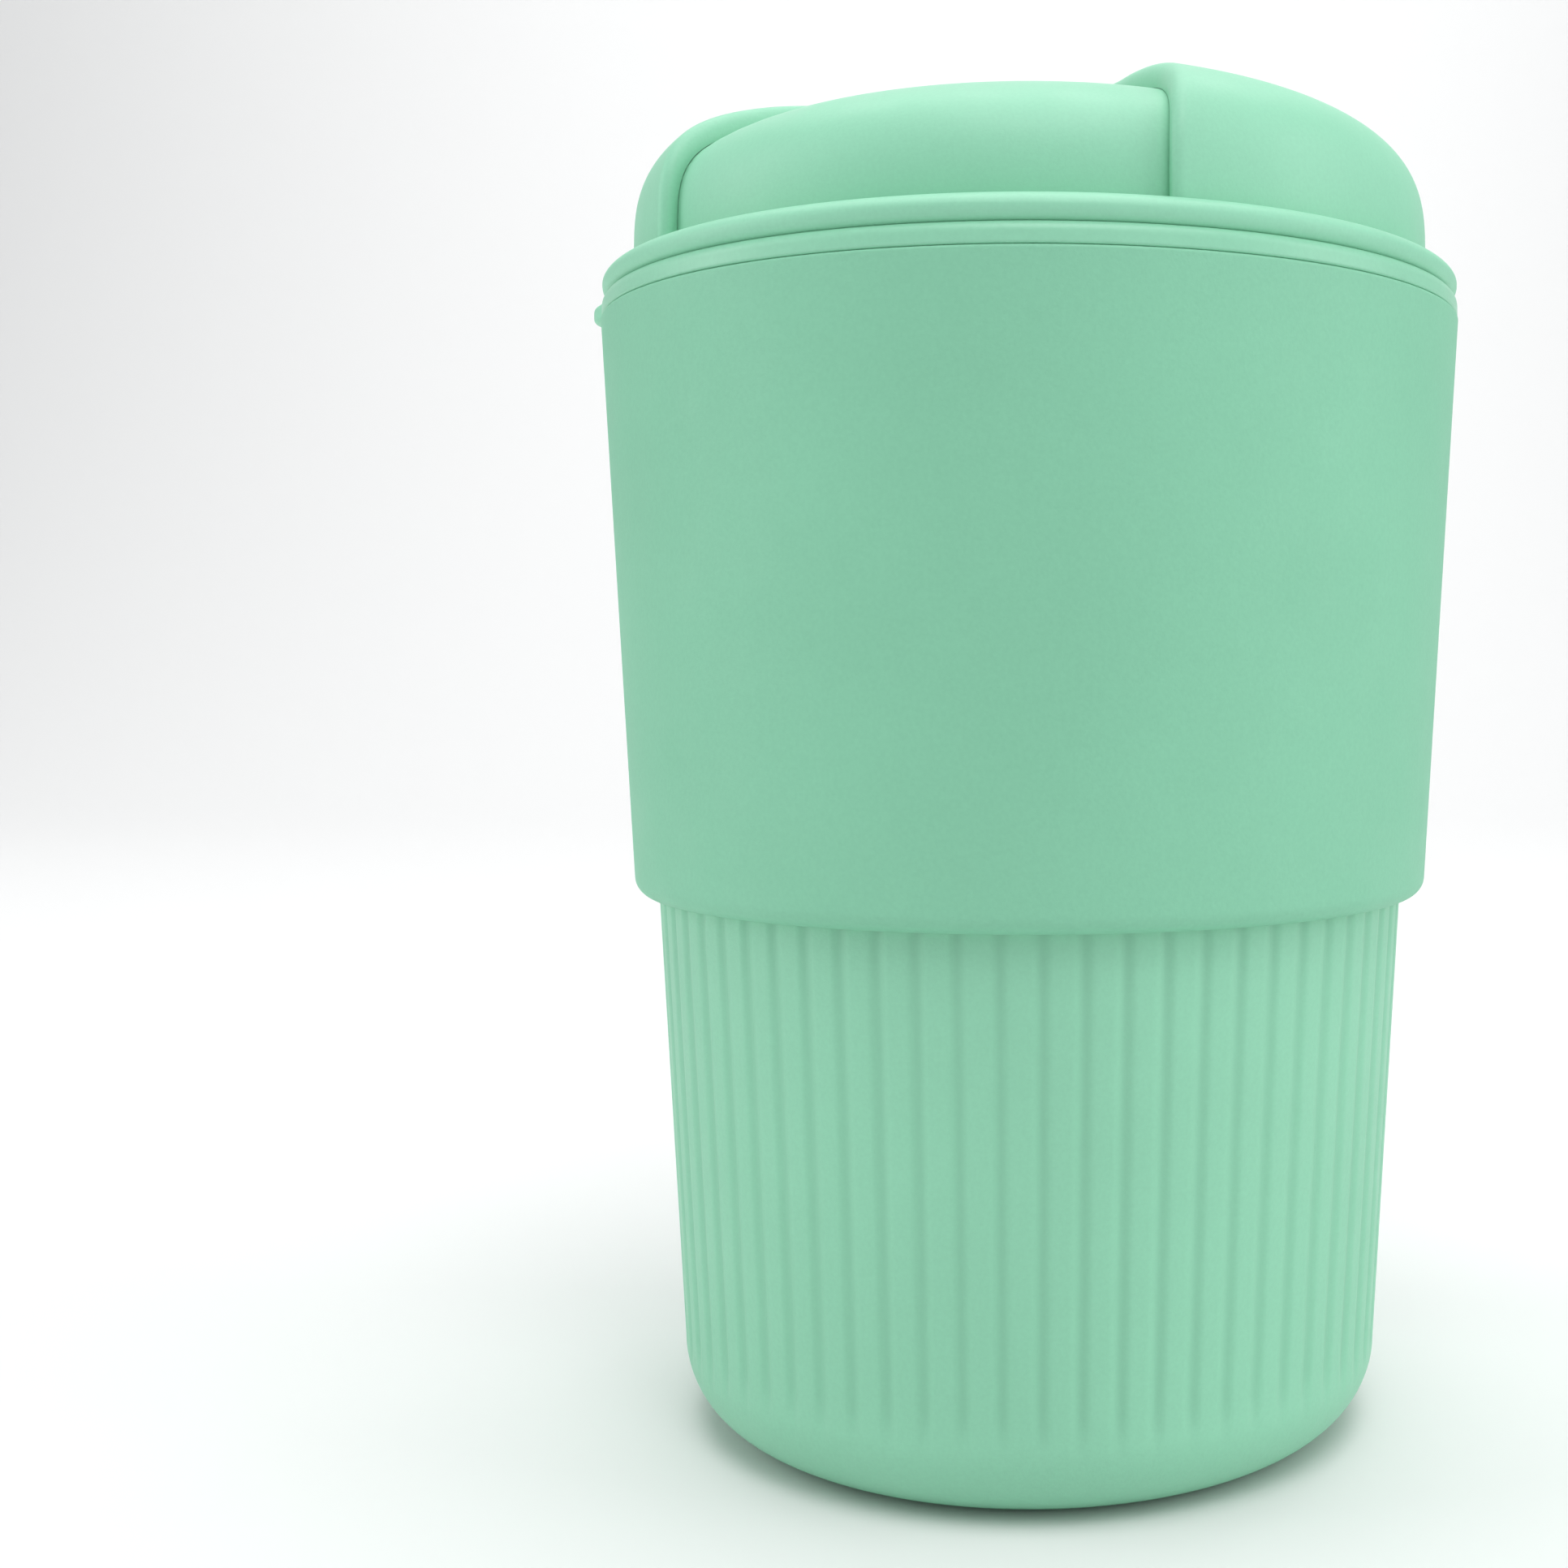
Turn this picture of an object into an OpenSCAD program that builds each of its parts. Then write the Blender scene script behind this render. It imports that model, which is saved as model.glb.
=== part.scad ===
// Lidded travel cup: a ribbed double-wall cup with a smooth sleeve round its upper half,
// and a press-in domed lid whose hood turns to uncover the drinking hole.
// Origin: centre of the base, on the table. +Z is up. The hood's notch faces -Y when closed.

/* [Cup] */
// Height of the cup to the top of its rim
rim_top = 119.2; // [110:0.1:130]
// Radius of the outer cup's wall, carried down to the table
wall_foot_r = 36.79; // [34:0.01:38]
// Lean of the cup's wall from upright, in degrees
wall_lean = 3.42; // [3:0.01:3.8]
// Radius of the rounded corner between base and wall
base_corner_r = 8.8; // [6:0.1:11]
// Thickness of the outer cup's wall
outer_wall = 1.6; // [1.2:0.1:2]
// Thickness of the inner cup's wall
inner_wall = 1.5; // [1:0.1:2]

/* [Grooves] */
// Number of upright grooves round the cup
groove_count = 65; // [32:1:72]
// Radius of the round cutter that shapes one groove
groove_r = 1.3; // [1:0.05:1.5]
// Depth of a groove
groove_depth = 0.35; // [0.25:0.05:0.45]

/* [Sleeve] */
// Height of the sleeve's lower edge above the table
sleeve_bottom = 56; // [45:0.5:70]
// Thickness of the sleeve
sleeve_wall = 2.45; // [2:0.05:2.6]
// Radius of the sleeve's rounded lower edge
sleeve_edge_r = 2.35; // [1:0.05:2.35]

/* [Lid] */
// Outer radius of the lid's flange
flange_r = 46.1; // [45:0.1:46.4]
// Thickness of the lid's flange
flange_height = 2.9; // [2.6:0.1:3.2]
// Width of the flange's sloping shoulder
shoulder_width = 4; // [3:0.1:4]
// Drop of the flange's sloping shoulder
shoulder_drop = 1.5; // [1.2:0.1:1.8]
// Radius of the lid's dome at its foot
dome_r = 40.9; // [40.5:0.1:41.4]
// Rise of the lid's dome above its foot
dome_rise = 14.1; // [12:0.1:14.5]
// Squareness of the domes: 2 is an ellipse, and more is boxier
dome_power = 3.12; // [2.5:0.02:3.2]
// Thickness of the lid's dome
dome_wall = 1.8; // [1.4:0.1:2]
// Length of the drinking hole round the lid
hole_length = 16; // [12:0.5:18]
// Width of the drinking hole, towards the lid's centre
hole_width = 8; // [6:0.5:9]

/* [Hood] */
// Radius of the hood's dome at its foot
hood_r = 42.82; // [42.8:0.02:43]
// Rise of the hood's dome above its foot
hood_rise = 16.72; // [16.6:0.02:17.6]
// Radius of the notch's wide end, at the hood's foot
notch_r = 25.6; // [24:0.1:26]
// Distance of the wide end's centre from the lid's axis
notch_offset = 38; // [37:0.1:39]
// Radius of the notch's narrow end, towards the lid's axis
notch_tip_r = 18.3; // [17:0.1:18.5]
// Distance of the narrow end's centre from the lid's axis
notch_tip_offset = 24.6; // [24.6:0.1:26]
// Angle that the hood turns from closed to open
hood_travel = 90; // [80:1:95]

/* [Hidden] */
$fn = 96;

// Gap between parts that move apart, and between parts that only sit side by side
free_gap = 0.3;
snug_gap = 0.05;
// Length by which a cutter passes the face that it opens
over = 1;
mint = [0.56, 0.81, 0.69];
pale_silicone = [0.92, 0.94, 0.92];

// Cup
flange_thick = 2.3;
flange_bottom = rim_top - flange_thick;
outer_top = flange_bottom;
base_thick = 2;
groove_start = 3;
groove_top_gap = 8;
groove_end = outer_top - groove_top_gap;
rim_r = 46.15;
rim_top_edge_r = 0.7;
rim_low_edge_r = 0.4;
seat_r = 38.6;
seat_depth = 15;
seat_bottom = rim_top - seat_depth;
floor_top = 9;
floor_r = 30;
floor_corner_r = 9;
floor_corner_end = -5;
plug_band = 8;
plug_taper = 2;

// Sleeve
sleeve_top = outer_top - free_gap;
sleeve_top_edge_r = 0.5;

// Lid
flange_under = rim_top + free_gap;
flange_top = flange_under + flange_height;
flange_low_edge_r = 0.8;
dome_plinth = 1.27;
dome_foot = flange_top + dome_plinth;
skirt_gap = 0.6;
skirt_r = seat_r - skirt_gap;
skirt_wall = 2.2;
skirt_depth = 10.2;
skirt_bottom = rim_top - skirt_depth;
skirt_lead_in = 0.8;
skirt_lead_height = 1.4;
gasket_h = 3.2;
gasket_rise = 3;
gasket_z = skirt_bottom + gasket_rise;
gasket_depth = 0.9;
gasket_edge_r = 0.5;
tab_r = 5.8;
tab_offset = 44.5;
tab_angle = -79.5;
tab_thick = 2.5;
tab_edge_r = 1;
hole_ring_r = 30;
vent_r = 1.2;
vent_ring_r = 14;

// Hub: the hood's stem turns in a bore through the lid
stem_r = 4;
bore_r = stem_r + snug_gap;
hub_r = 7;
hub_rise = 3;
hub_bottom = dome_foot + hub_rise;
seal_h = 1.6;
seal_r = 5.6;
stem_bottom = hub_bottom - free_gap;
pin_r = 1.6;
pin_length = 8;
socket_length = 8.5;
pin_grip = 0.02;
head_r = 6.4;
head_thick = 1.6;
arm_width = 3.4;
arm_reach = 11;
stop_inner_r = 7.6;
stop_outer_r = 9.4;
stop_clear_angle = 17;

// Seal under the hood
seal_pad_thick = 1.2;
pad_r = 10.6;
vent_pad_r = 4.2;

// Radius of the outer cup's wall at height z
function wall_r(z) = wall_foot_r + z * tan(wall_lean);

// Points on an arc about (x, y), from angle a to angle b
function arc(x, y, r, a, b, steps = 8) =
    [for (i = [0:steps]) let (t = a + (b - a) * i / steps) [x + r * cos(t), y + r * sin(t)]];

// Points on an upright oval's quarter about (x, y), from its outer side to its top
function quarter_oval(x, y, width, height, steps = 14) =
    [for (i = [0:steps]) let (t = 90 * i / steps) [x + width * cos(t), y + height * sin(t)]];

// Half outline of a dome from its foot to the axis
function dome(r, rise, steps = 28) =
    [for (i = [0:steps]) let (t = 90 * i / steps)
        [r * pow(cos(t), 2 / dome_power), dome_foot + rise * pow(sin(t), 2 / dome_power)]];

function reversed(points) = [for (i = [len(points) - 1:-1:0]) points[i]];

// Turns its children from -Y towards +X
module at_angle(angle) {
    rotate([0, 0, angle]) children();
}

// Solid of revolution between two domes, standing on the height z
module dome_shell(outer_r, outer_rise, inner_r, inner_rise, z) {
    rotate_extrude()
        polygon(concat(
            [[inner_r, z], [outer_r, z]],
            dome(outer_r, outer_rise),
            reversed(dome(inner_r, inner_rise))));
}

// One groove cutter, its axis parallel to the cup's wall
module groove_cutter() {
    out = (groove_r - groove_depth) / cos(wall_lean);
    translate([0, -wall_r(groove_start) - out, groove_start])
        rotate([wall_lean, 0, 0])
            cylinder(h = (groove_end - groove_start) / cos(wall_lean), r = groove_r, $fn = 24);
}

// Ribbed outer cup with its base
module outer_cup() {
    corner_r = wall_r(base_corner_r) - base_corner_r;
    inner_corner_r = base_corner_r - outer_wall;
    color(mint)
        difference() {
            rotate_extrude()
                polygon(concat(
                    [[0, 0]],
                    arc(corner_r, base_corner_r, base_corner_r, -90, 0, 10),
                    [[wall_r(outer_top), outer_top], [wall_r(outer_top) - outer_wall, outer_top]],
                    arc(corner_r, base_thick + inner_corner_r, inner_corner_r, 0, -90, 10),
                    [[0, base_thick]]));
            for (i = [0:groove_count - 1])
                at_angle(i * 360 / groove_count) groove_cutter();
        }
}

// Smooth inner cup: its rim flange covers the tops of the outer cup and the sleeve
module inner_cup() {
    band_r = wall_r(outer_top) - outer_wall - snug_gap;
    band_low_r = wall_r(outer_top - plug_band) - outer_wall - snug_gap;
    outer_seat_r = seat_r + inner_wall;
    corner_z = floor_top + floor_corner_r;
    color(mint)
        rotate_extrude()
            polygon(concat(
                [[0, floor_top - inner_wall]],
                arc(floor_r - floor_corner_r + inner_wall, corner_z, floor_corner_r, -90, floor_corner_end),
                [[outer_seat_r, seat_bottom],
                    [outer_seat_r, outer_top - plug_band - plug_taper],
                    [band_low_r, outer_top - plug_band],
                    [band_r, outer_top]],
                arc(rim_r - rim_low_edge_r, outer_top + rim_low_edge_r, rim_low_edge_r, -90, 0, 5),
                arc(rim_r - rim_top_edge_r, rim_top - rim_top_edge_r, rim_top_edge_r, 0, 90),
                arc(seat_r + rim_top_edge_r, rim_top - rim_top_edge_r, rim_top_edge_r, 90, 180, 5),
                [[seat_r, seat_bottom]],
                arc(floor_r - floor_corner_r, corner_z, floor_corner_r, floor_corner_end, -90),
                [[0, floor_top]]));
}

// Smooth sleeve that hugs the upper half of the outer cup
module sleeve() {
    edge_z = sleeve_bottom + sleeve_edge_r;
    edge_r = wall_r(edge_z) + sleeve_wall - sleeve_edge_r;
    top_edge_r = wall_r(sleeve_top) + sleeve_wall - sleeve_top_edge_r;
    color(mint)
        rotate_extrude()
            polygon(concat(
                [[wall_r(sleeve_bottom) + snug_gap, sleeve_bottom]],
                arc(edge_r, edge_z, sleeve_edge_r, -90, -wall_lean),
                arc(top_edge_r, sleeve_top - sleeve_top_edge_r, sleeve_top_edge_r, -wall_lean, 90, 4),
                [[wall_r(sleeve_top) + snug_gap, sleeve_top]]));
}

// Rounded lift tab on the edge of the lid's flange
module lift_tab() {
    at_angle(tab_angle)
        translate([0, -tab_offset, flange_under])
            rotate_extrude($fn = 64)
                polygon(concat(
                    [[0, 0]],
                    arc(tab_r - tab_edge_r, tab_edge_r, tab_edge_r, -90, 0),
                    arc(tab_r - tab_edge_r, tab_thick - tab_edge_r, tab_edge_r, 0, 90),
                    [[0, tab_thick]]));
}

// Flange with its rounded shoulder, and the skirt that plugs into the inner cup
module lid_rim() {
    inner_r = skirt_r - skirt_wall;
    shoulder_r = flange_r - shoulder_width;
    low_edge_r = flange_r - flange_low_edge_r;
    groove_low = gasket_z - snug_gap;
    groove_high = gasket_z + gasket_h + snug_gap;
    rotate_extrude()
        polygon(concat(
            [[inner_r, skirt_bottom],
                [skirt_r - skirt_lead_in, skirt_bottom],
                [skirt_r, skirt_bottom + skirt_lead_height],
                [skirt_r, groove_low],
                [skirt_r - gasket_depth, groove_low],
                [skirt_r - gasket_depth, groove_high],
                [skirt_r, groove_high],
                [skirt_r, flange_under]],
            arc(low_edge_r, flange_under + flange_low_edge_r, flange_low_edge_r, -90, 0),
            quarter_oval(shoulder_r, flange_top - shoulder_drop, shoulder_width, shoulder_drop),
            [[inner_r, flange_top]]));
}

// Hole that the drink passes through, lying round the lid at its angle
module drinking_hole() {
    at_angle(hood_travel)
        translate([0, -hole_ring_r, dome_foot])
            hull()
                for (side = [-1, 1])
                    translate([side * (hole_length - hole_width) / 2, 0, 0])
                        cylinder(h = dome_rise + over, d = hole_width, $fn = 32);
}

// Part-ring under the dome: its two ends stop the retainer's arm
module stop_ring() {
    open_angle = hood_travel + 2 * stop_clear_angle;
    at_angle(180 + hood_travel + stop_clear_angle)
        rotate([0, 0, -90])
            rotate_extrude(angle = 360 - open_angle)
                polygon([
                    [stop_inner_r, stem_bottom - head_thick],
                    [stop_outer_r, stem_bottom - head_thick],
                    [stop_outer_r, dome_foot + dome_rise - dome_wall],
                    [stop_inner_r, dome_foot + dome_rise - dome_wall]]);
}

// Lid: dome, flange, skirt, lift tab and the hub that the hood turns in
module lid_shell() {
    color(mint)
        difference() {
            union() {
                dome_shell(dome_r, dome_rise, dome_r - dome_wall, dome_rise - dome_wall, flange_top - over);
                lid_rim();
                lift_tab();
                stop_ring();
                translate([0, 0, hub_bottom])
                    cylinder(h = dome_foot + dome_rise - dome_wall / 2 - hub_bottom, r = hub_r);
            }
            translate([0, 0, hub_bottom - over])
                cylinder(h = dome_rise + over, r = bore_r);
            translate([0, 0, hub_bottom - over])
                cylinder(h = seal_h + snug_gap + over, r = seal_r + snug_gap);
            drinking_hole();
            at_angle(hood_travel)
                translate([0, -vent_ring_r, dome_foot])
                    cylinder(h = dome_rise + over, r = vent_r, $fn = 32);
        }
}

// Soft ring in the skirt's groove, which seals against the inner cup
module lid_gasket() {
    inner_r = skirt_r - gasket_depth + snug_gap;
    outer_r = seat_r - snug_gap;
    color(pale_silicone)
        rotate_extrude()
            polygon(concat(
                [[inner_r, gasket_z]],
                arc(outer_r - gasket_edge_r, gasket_z + gasket_edge_r, gasket_edge_r, -90, 0, 5),
                arc(outer_r - gasket_edge_r, gasket_z + gasket_h - gasket_edge_r, gasket_edge_r, 0, 90, 5),
                [[inner_r, gasket_z + gasket_h]]));
}

// Soft ring round the hood's stem, in the counterbore under the hub
module stem_seal() {
    color(pale_silicone)
        translate([0, 0, hub_bottom])
            difference() {
                cylinder(h = seal_h, r = seal_r);
                translate([0, 0, -over])
                    cylinder(h = seal_h + 2 * over, r = bore_r);
            }
}

// Outline of the pad that covers the drinking hole and the vent
module pad_column(grow) {
    at_angle(hood_travel)
        hull() {
            translate([0, -hole_ring_r, dome_foot])
                cylinder(h = hood_rise, r = pad_r + grow, $fn = 32);
            translate([0, -vent_ring_r, dome_foot])
                cylinder(h = hood_rise, r = vent_pad_r + grow, $fn = 32);
        }
}

// Layer of the given thickness that starts free_gap above the lid's dome
module over_lid_layer(thick) {
    inner_r = dome_r + free_gap;
    inner_rise = dome_rise + free_gap;
    dome_shell(inner_r + thick / 2, inner_rise + thick, inner_r, inner_rise, dome_foot - over);
}

// Notch cutter: two round ends joined by straight sides that touch both
module notch_cutter(z, h) {
    side_angle = asin((notch_r - notch_tip_r) / (notch_offset - notch_tip_offset));
    side = [cos(side_angle), sin(side_angle)];
    wide = [0, -notch_offset] + notch_r * side;
    tip = [0, -notch_tip_offset] + notch_tip_r * side;
    translate([0, 0, z]) {
        translate([0, -notch_offset, 0])
            cylinder(h = h, r = notch_r);
        translate([0, -notch_tip_offset, 0])
            cylinder(h = h, r = notch_tip_r);
        linear_extrude(h)
            polygon([wide, tip, [-tip[0], tip[1]], [-wide[0], wide[1]]]);
    }
}

// Turning hood: a dome over the lid's dome, with a notch and a stem
module hood() {
    foot = flange_top + free_gap;
    color(mint)
        difference() {
            union() {
                dome_shell(hood_r, hood_rise, dome_r + free_gap, dome_rise + free_gap, foot);
                translate([0, 0, stem_bottom])
                    cylinder(h = dome_foot + dome_rise + over - stem_bottom, r = stem_r);
            }
            notch_cutter(foot - over, dome_foot + hood_rise - foot + 2 * over);
            translate([0, 0, stem_bottom - over])
                cylinder(h = socket_length + over, r = pin_r, $fn = 48);
            intersection() {
                over_lid_layer(seal_pad_thick + snug_gap);
                pad_column(snug_gap);
            }
        }
}

// Push-in retainer under the hood's stem: its arm meets the stops under the lid
module hood_retainer() {
    color(mint)
        translate([0, 0, stem_bottom - head_thick]) {
            cylinder(h = head_thick, r = head_r);
            translate([0, 0, head_thick])
                cylinder(h = pin_length, r = pin_r + pin_grip, $fn = 48);
            at_angle(180)
                translate([-arm_width / 2, -arm_reach, 0])
                    cube([arm_width, arm_reach, head_thick]);
        }
}

// Soft pad let into the hood's underside, over the drinking hole and the vent
module spout_seal() {
    color(pale_silicone)
        intersection() {
            over_lid_layer(seal_pad_thick);
            pad_column(0);
        }
}

outer_cup();
inner_cup();
sleeve();
lid_shell();
lid_gasket();
stem_seal();
hood();
hood_retainer();
spout_seal();
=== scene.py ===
"""Looks of a lidded travel cup: ribbed cup, smooth sleeve and a domed lid with a turning hood."""

import math

import bpy
import bmesh
import numpy as np
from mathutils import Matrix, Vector


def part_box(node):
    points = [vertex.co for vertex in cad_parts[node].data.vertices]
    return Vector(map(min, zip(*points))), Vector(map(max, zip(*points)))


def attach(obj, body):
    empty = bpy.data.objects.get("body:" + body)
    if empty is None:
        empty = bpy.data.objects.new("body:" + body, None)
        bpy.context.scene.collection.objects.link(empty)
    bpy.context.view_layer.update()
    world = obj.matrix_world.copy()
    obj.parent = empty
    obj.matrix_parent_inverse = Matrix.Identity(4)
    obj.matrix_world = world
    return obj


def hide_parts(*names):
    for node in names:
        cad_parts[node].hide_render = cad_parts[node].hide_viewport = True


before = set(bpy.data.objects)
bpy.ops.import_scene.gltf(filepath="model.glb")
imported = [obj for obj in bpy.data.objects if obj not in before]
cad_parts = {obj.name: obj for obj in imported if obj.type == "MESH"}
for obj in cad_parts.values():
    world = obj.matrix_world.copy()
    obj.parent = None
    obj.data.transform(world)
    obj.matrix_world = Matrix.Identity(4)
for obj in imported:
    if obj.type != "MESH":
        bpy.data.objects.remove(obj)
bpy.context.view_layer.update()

# ---------------------------------------------------------------- sizes, in millimetres
MM = 0.001


def box_mm(node):
    """Lowest and highest corners of a CAD node, in millimetres."""
    low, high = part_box(node)
    return [c / MM for c in low], [c / MM for c in high]


cup_high = box_mm("outer_cup")[1]
rim_low, rim_high = box_mm("inner_cup")
sleeve_low = box_mm("sleeve")[0]
lid_low, lid_high = box_mm("lid_shell")
hood_low, hood_high = box_mm("hood")
seal_low, seal_high = box_mm("stem_seal")
gasket_low, gasket_high = box_mm("lid_gasket")

FREE_GAP = 0.3
SNUG_GAP = 0.05
SEAM_GAP = 0.03

# Cup. The rim's and the flange's soft beads sit a little lower than the CAD's plainer edges.
RIM_DROP = 0.2
RIM_TOP = rim_high[2] - RIM_DROP
OUTER_TOP = cup_high[2]
WALL_LEAN = math.radians(3.42)
WALL_FOOT_R = 36.79
CORNER_R = 8.8
OUTER_WALL = 1.6
BASE_THICK = 2.0
GROOVES = 65
GROOVE_WIDTH = 2.1
GROOVE_DEPTH = 0.3
GROOVE_FADE_LOW = 6.2
GROOVE_FADE_HIGH = 11.5
RIM_R = 46.15
RIM_TOP_EDGE_R = 1.15
RIM_TOP_TURN = 62
RIM_LOW_EDGE_R = 0.3
SEAT_R = 38.6
SEAT_DEPTH = 15.0
SEAT_BOTTOM = RIM_TOP - SEAT_DEPTH
INNER_WALL = 1.5
FLOOR_TOP = rim_low[2] + INNER_WALL
FLOOR_R = 30.0
FLOOR_CORNER_R = 9.0

# Sleeve
SLEEVE_BOTTOM = sleeve_low[2]
SLEEVE_TOP = OUTER_TOP - SEAM_GAP
SLEEVE_WALL = 2.45
SLEEVE_EDGE_R = 1.9
SLEEVE_TOP_EDGE_R = 0.3

# Lid
FLANGE_UNDER = RIM_TOP + SEAM_GAP
FLANGE_R = lid_high[0]
FLANGE_HEIGHT = 2.9
FLANGE_DROP = 0.3
FLANGE_TOP = rim_high[2] + FREE_GAP + FLANGE_HEIGHT - FLANGE_DROP
SHOULDER_WIDTH = 4.0
SHOULDER_DROP = 1.75
UNDER_WIDTH = 1.6
UNDER_HEIGHT = 1.5
UNDER_TURN = 60
UNDER_FLAT_R = FLANGE_R - UNDER_WIDTH * (1 - math.cos(math.radians(UNDER_TURN)))
DOME_PLINTH = 1.27
DOME_FOOT = FLANGE_TOP + FLANGE_DROP + DOME_PLINTH
DOME_R = 40.9
DOME_RISE = lid_high[2] - DOME_FOOT
DOME_WALL = 1.8
DOME_POWER = 3.12
SKIRT_R = SEAT_R - 0.6
SKIRT_IN_R = SKIRT_R - 2.2
SKIRT_BOTTOM = lid_low[2]
GASKET_DEPTH = 0.9
TAB_R = 5.8
TAB_OFFSET = 44.5
TAB_ANGLE = math.radians(-79.5)
TAB_THICK = 2.4
TAB_DROOP = 0.3
TAB_DROOP_R = 46.6
TAB_DROOP_WIDTH = 2.0
HOLE_ANGLE = math.radians(90)
HOLE_RING_R = 30.0
HOLE_HALF_WIDTH = 4.0
HOLE_HALF_STRAIGHT = 4.0
HOLE_EDGE_R = 0.8
VENT_RING_R = 14.0
VENT_R = 1.2

# Hub
STEM_R = 4.0
BORE_R = STEM_R + SNUG_GAP
HUB_R = 7.0
HUB_BOTTOM = seal_low[2]
SEAL_R = 5.6
STEM_BOTTOM = hood_low[2]
PIN_R = 1.6
PIN_LENGTH = 8.0
STOP_IN_R = 7.6
STOP_OUT_R = 9.4
STOP_CLEAR = math.radians(17)
STOP_BOTTOM = STEM_BOTTOM - 1.6

# Hood
HOOD_R = hood_high[0]
HOOD_RISE = hood_high[2] - DOME_FOOT
HOOD_FOOT = FLANGE_TOP + SEAM_GAP
NOTCH_R = 26.35
NOTCH_OFFSET = 38.6
NOTCH_TIP_R = 17.9
NOTCH_TIP_OFFSET = 24.6
HOOD_EDGE_R = 1.6
HOOD_LIP = 0.12
LIP_BLEND = 3.0
COLUMN_CROWDING = 0.85
LIP_GAP_SHARE = 0.15
PAD_R = 10.6
PAD_VENT_R = 4.2
PAD_THICK = 1.2


def wall_r(z):
    """Radius of the outer cup's wall at a height."""
    return WALL_FOOT_R + z * math.tan(WALL_LEAN)


# ---------------------------------------------------------------- outlines
def arc(r_mid, z_mid, radius, start, end, steps):
    """Points on an arc, angles in degrees from the outward direction."""
    angles = np.radians(np.linspace(start, end, steps + 1))
    return [(r_mid + radius * math.cos(a), z_mid + radius * math.sin(a)) for a in angles]


def oval(r_mid, z_mid, width, height, start, end, steps):
    """Points on an upright oval, angles in degrees from the outward direction."""
    angles = np.radians(np.linspace(start, end, steps + 1))
    return [(r_mid + width * math.cos(a), z_mid + height * math.sin(a)) for a in angles]


def supported(points, near=0.12, long=0.7, step=6.0):
    """Adds points close to both ends of long straight stretches, so that smooth shading stays true."""
    out = [points[0]]
    for (r0, z0), (r1, z1) in zip(points, points[1:]):
        length = math.hypot(r1 - r0, z1 - z0)
        if length > long:
            inner = [near / length, 1 - near / length]
            count = int(length // step)
            inner[1:1] = [(i + 1) / (count + 1) for i in range(count)]
            out += [(r0 + (r1 - r0) * t, z0 + (z1 - z0) * t) for t in inner]
        out.append((r1, z1))
    return out


class Dome:
    """Half outline of a dome, walked by its length from the top down to its foot."""

    def __init__(self, radius, rise):
        t = np.linspace(math.pi / 2, 0, 3000)
        self.r = radius * np.cos(t).clip(0) ** (2 / DOME_POWER)
        self.z = DOME_FOOT + rise * np.sin(t).clip(0) ** (2 / DOME_POWER)
        steps = np.hypot(np.diff(self.r), np.diff(self.z))
        self.walk = np.concatenate([[0], np.cumsum(steps)])
        self.length = self.walk[-1]

    def at(self, share):
        """Radius and height at a share of the walk: 0 is the top and 1 is the foot."""
        along = np.asarray(share) * self.length
        return np.interp(along, self.walk, self.r), np.interp(along, self.walk, self.z)

    def share_at(self, radius):
        """Share of the walk at which the dome has this radius."""
        return np.interp(radius, self.r, self.walk) / self.length


LID_DOME = Dome(DOME_R, DOME_RISE)
LID_DOME_IN = Dome(DOME_R - DOME_WALL, DOME_RISE - DOME_WALL)
HOOD_DOME = Dome(HOOD_R, HOOD_RISE)
HOOD_DOME_IN = Dome(DOME_R + FREE_GAP, DOME_RISE + FREE_GAP)


# ---------------------------------------------------------------- mesh helpers
def make_object(name, vertices, faces, sharp=40):
    """Mesh object from points in millimetres, closed, smooth, and sharp only at real edges."""
    mesh = bpy.data.meshes.new(name)
    mesh.from_pydata((np.asarray(vertices) * MM).tolist(), [], faces)
    piece = bpy.data.objects.new(name, mesh)
    bpy.context.scene.collection.objects.link(piece)
    finish_mesh(piece, sharp)
    return piece


def finish_mesh(piece, sharp=40):
    """Faces outward, smooth shading, and sharp edges above an angle in degrees."""
    shape = bmesh.new()
    shape.from_mesh(piece.data)
    bmesh.ops.remove_doubles(shape, verts=shape.verts, dist=1e-7)
    bmesh.ops.recalc_face_normals(shape, faces=shape.faces)
    shape.to_mesh(piece.data)
    shape.free()
    piece.data.shade_smooth()
    piece.data.set_sharp_from_angle(angle=math.radians(sharp))


def grid_faces(rows, columns, close_rows):
    """Quads of a grid whose columns wrap round; its rows wrap too when close_rows is true."""
    faces = []
    for i in range(rows if close_rows else rows - 1):
        a = i * columns
        b = (i + 1) % rows * columns
        for j in range(columns):
            k = (j + 1) % columns
            faces.append((a + j, a + k, b + k, b + j))
    return faces


def direction(angle):
    """Unit vector in plan, turned from -Y towards +X."""
    return np.array([np.sin(angle), -np.cos(angle)])


def lathe(name, outline, columns=256, sharp=40):
    """Solid of revolution. An outline that starts and ends on the axis gets a point at each end."""
    angles = np.arange(columns) / columns * 2 * math.pi
    on_axis = outline[0][0] == 0
    rings = outline[1:-1] if on_axis else outline
    vertices = [(r * math.sin(a), -r * math.cos(a), z) for r, z in rings for a in angles]
    faces = grid_faces(len(rings), columns, not on_axis)
    if on_axis:
        first = len(vertices)
        vertices += [(0, 0, outline[0][1]), (0, 0, outline[-1][1])]
        last_ring = (len(rings) - 1) * columns
        for j in range(columns):
            k = (j + 1) % columns
            faces.append((first, k, j))
            faces.append((first + 1, last_ring + j, last_ring + k))
    return make_object(name, vertices, faces, sharp)


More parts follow.
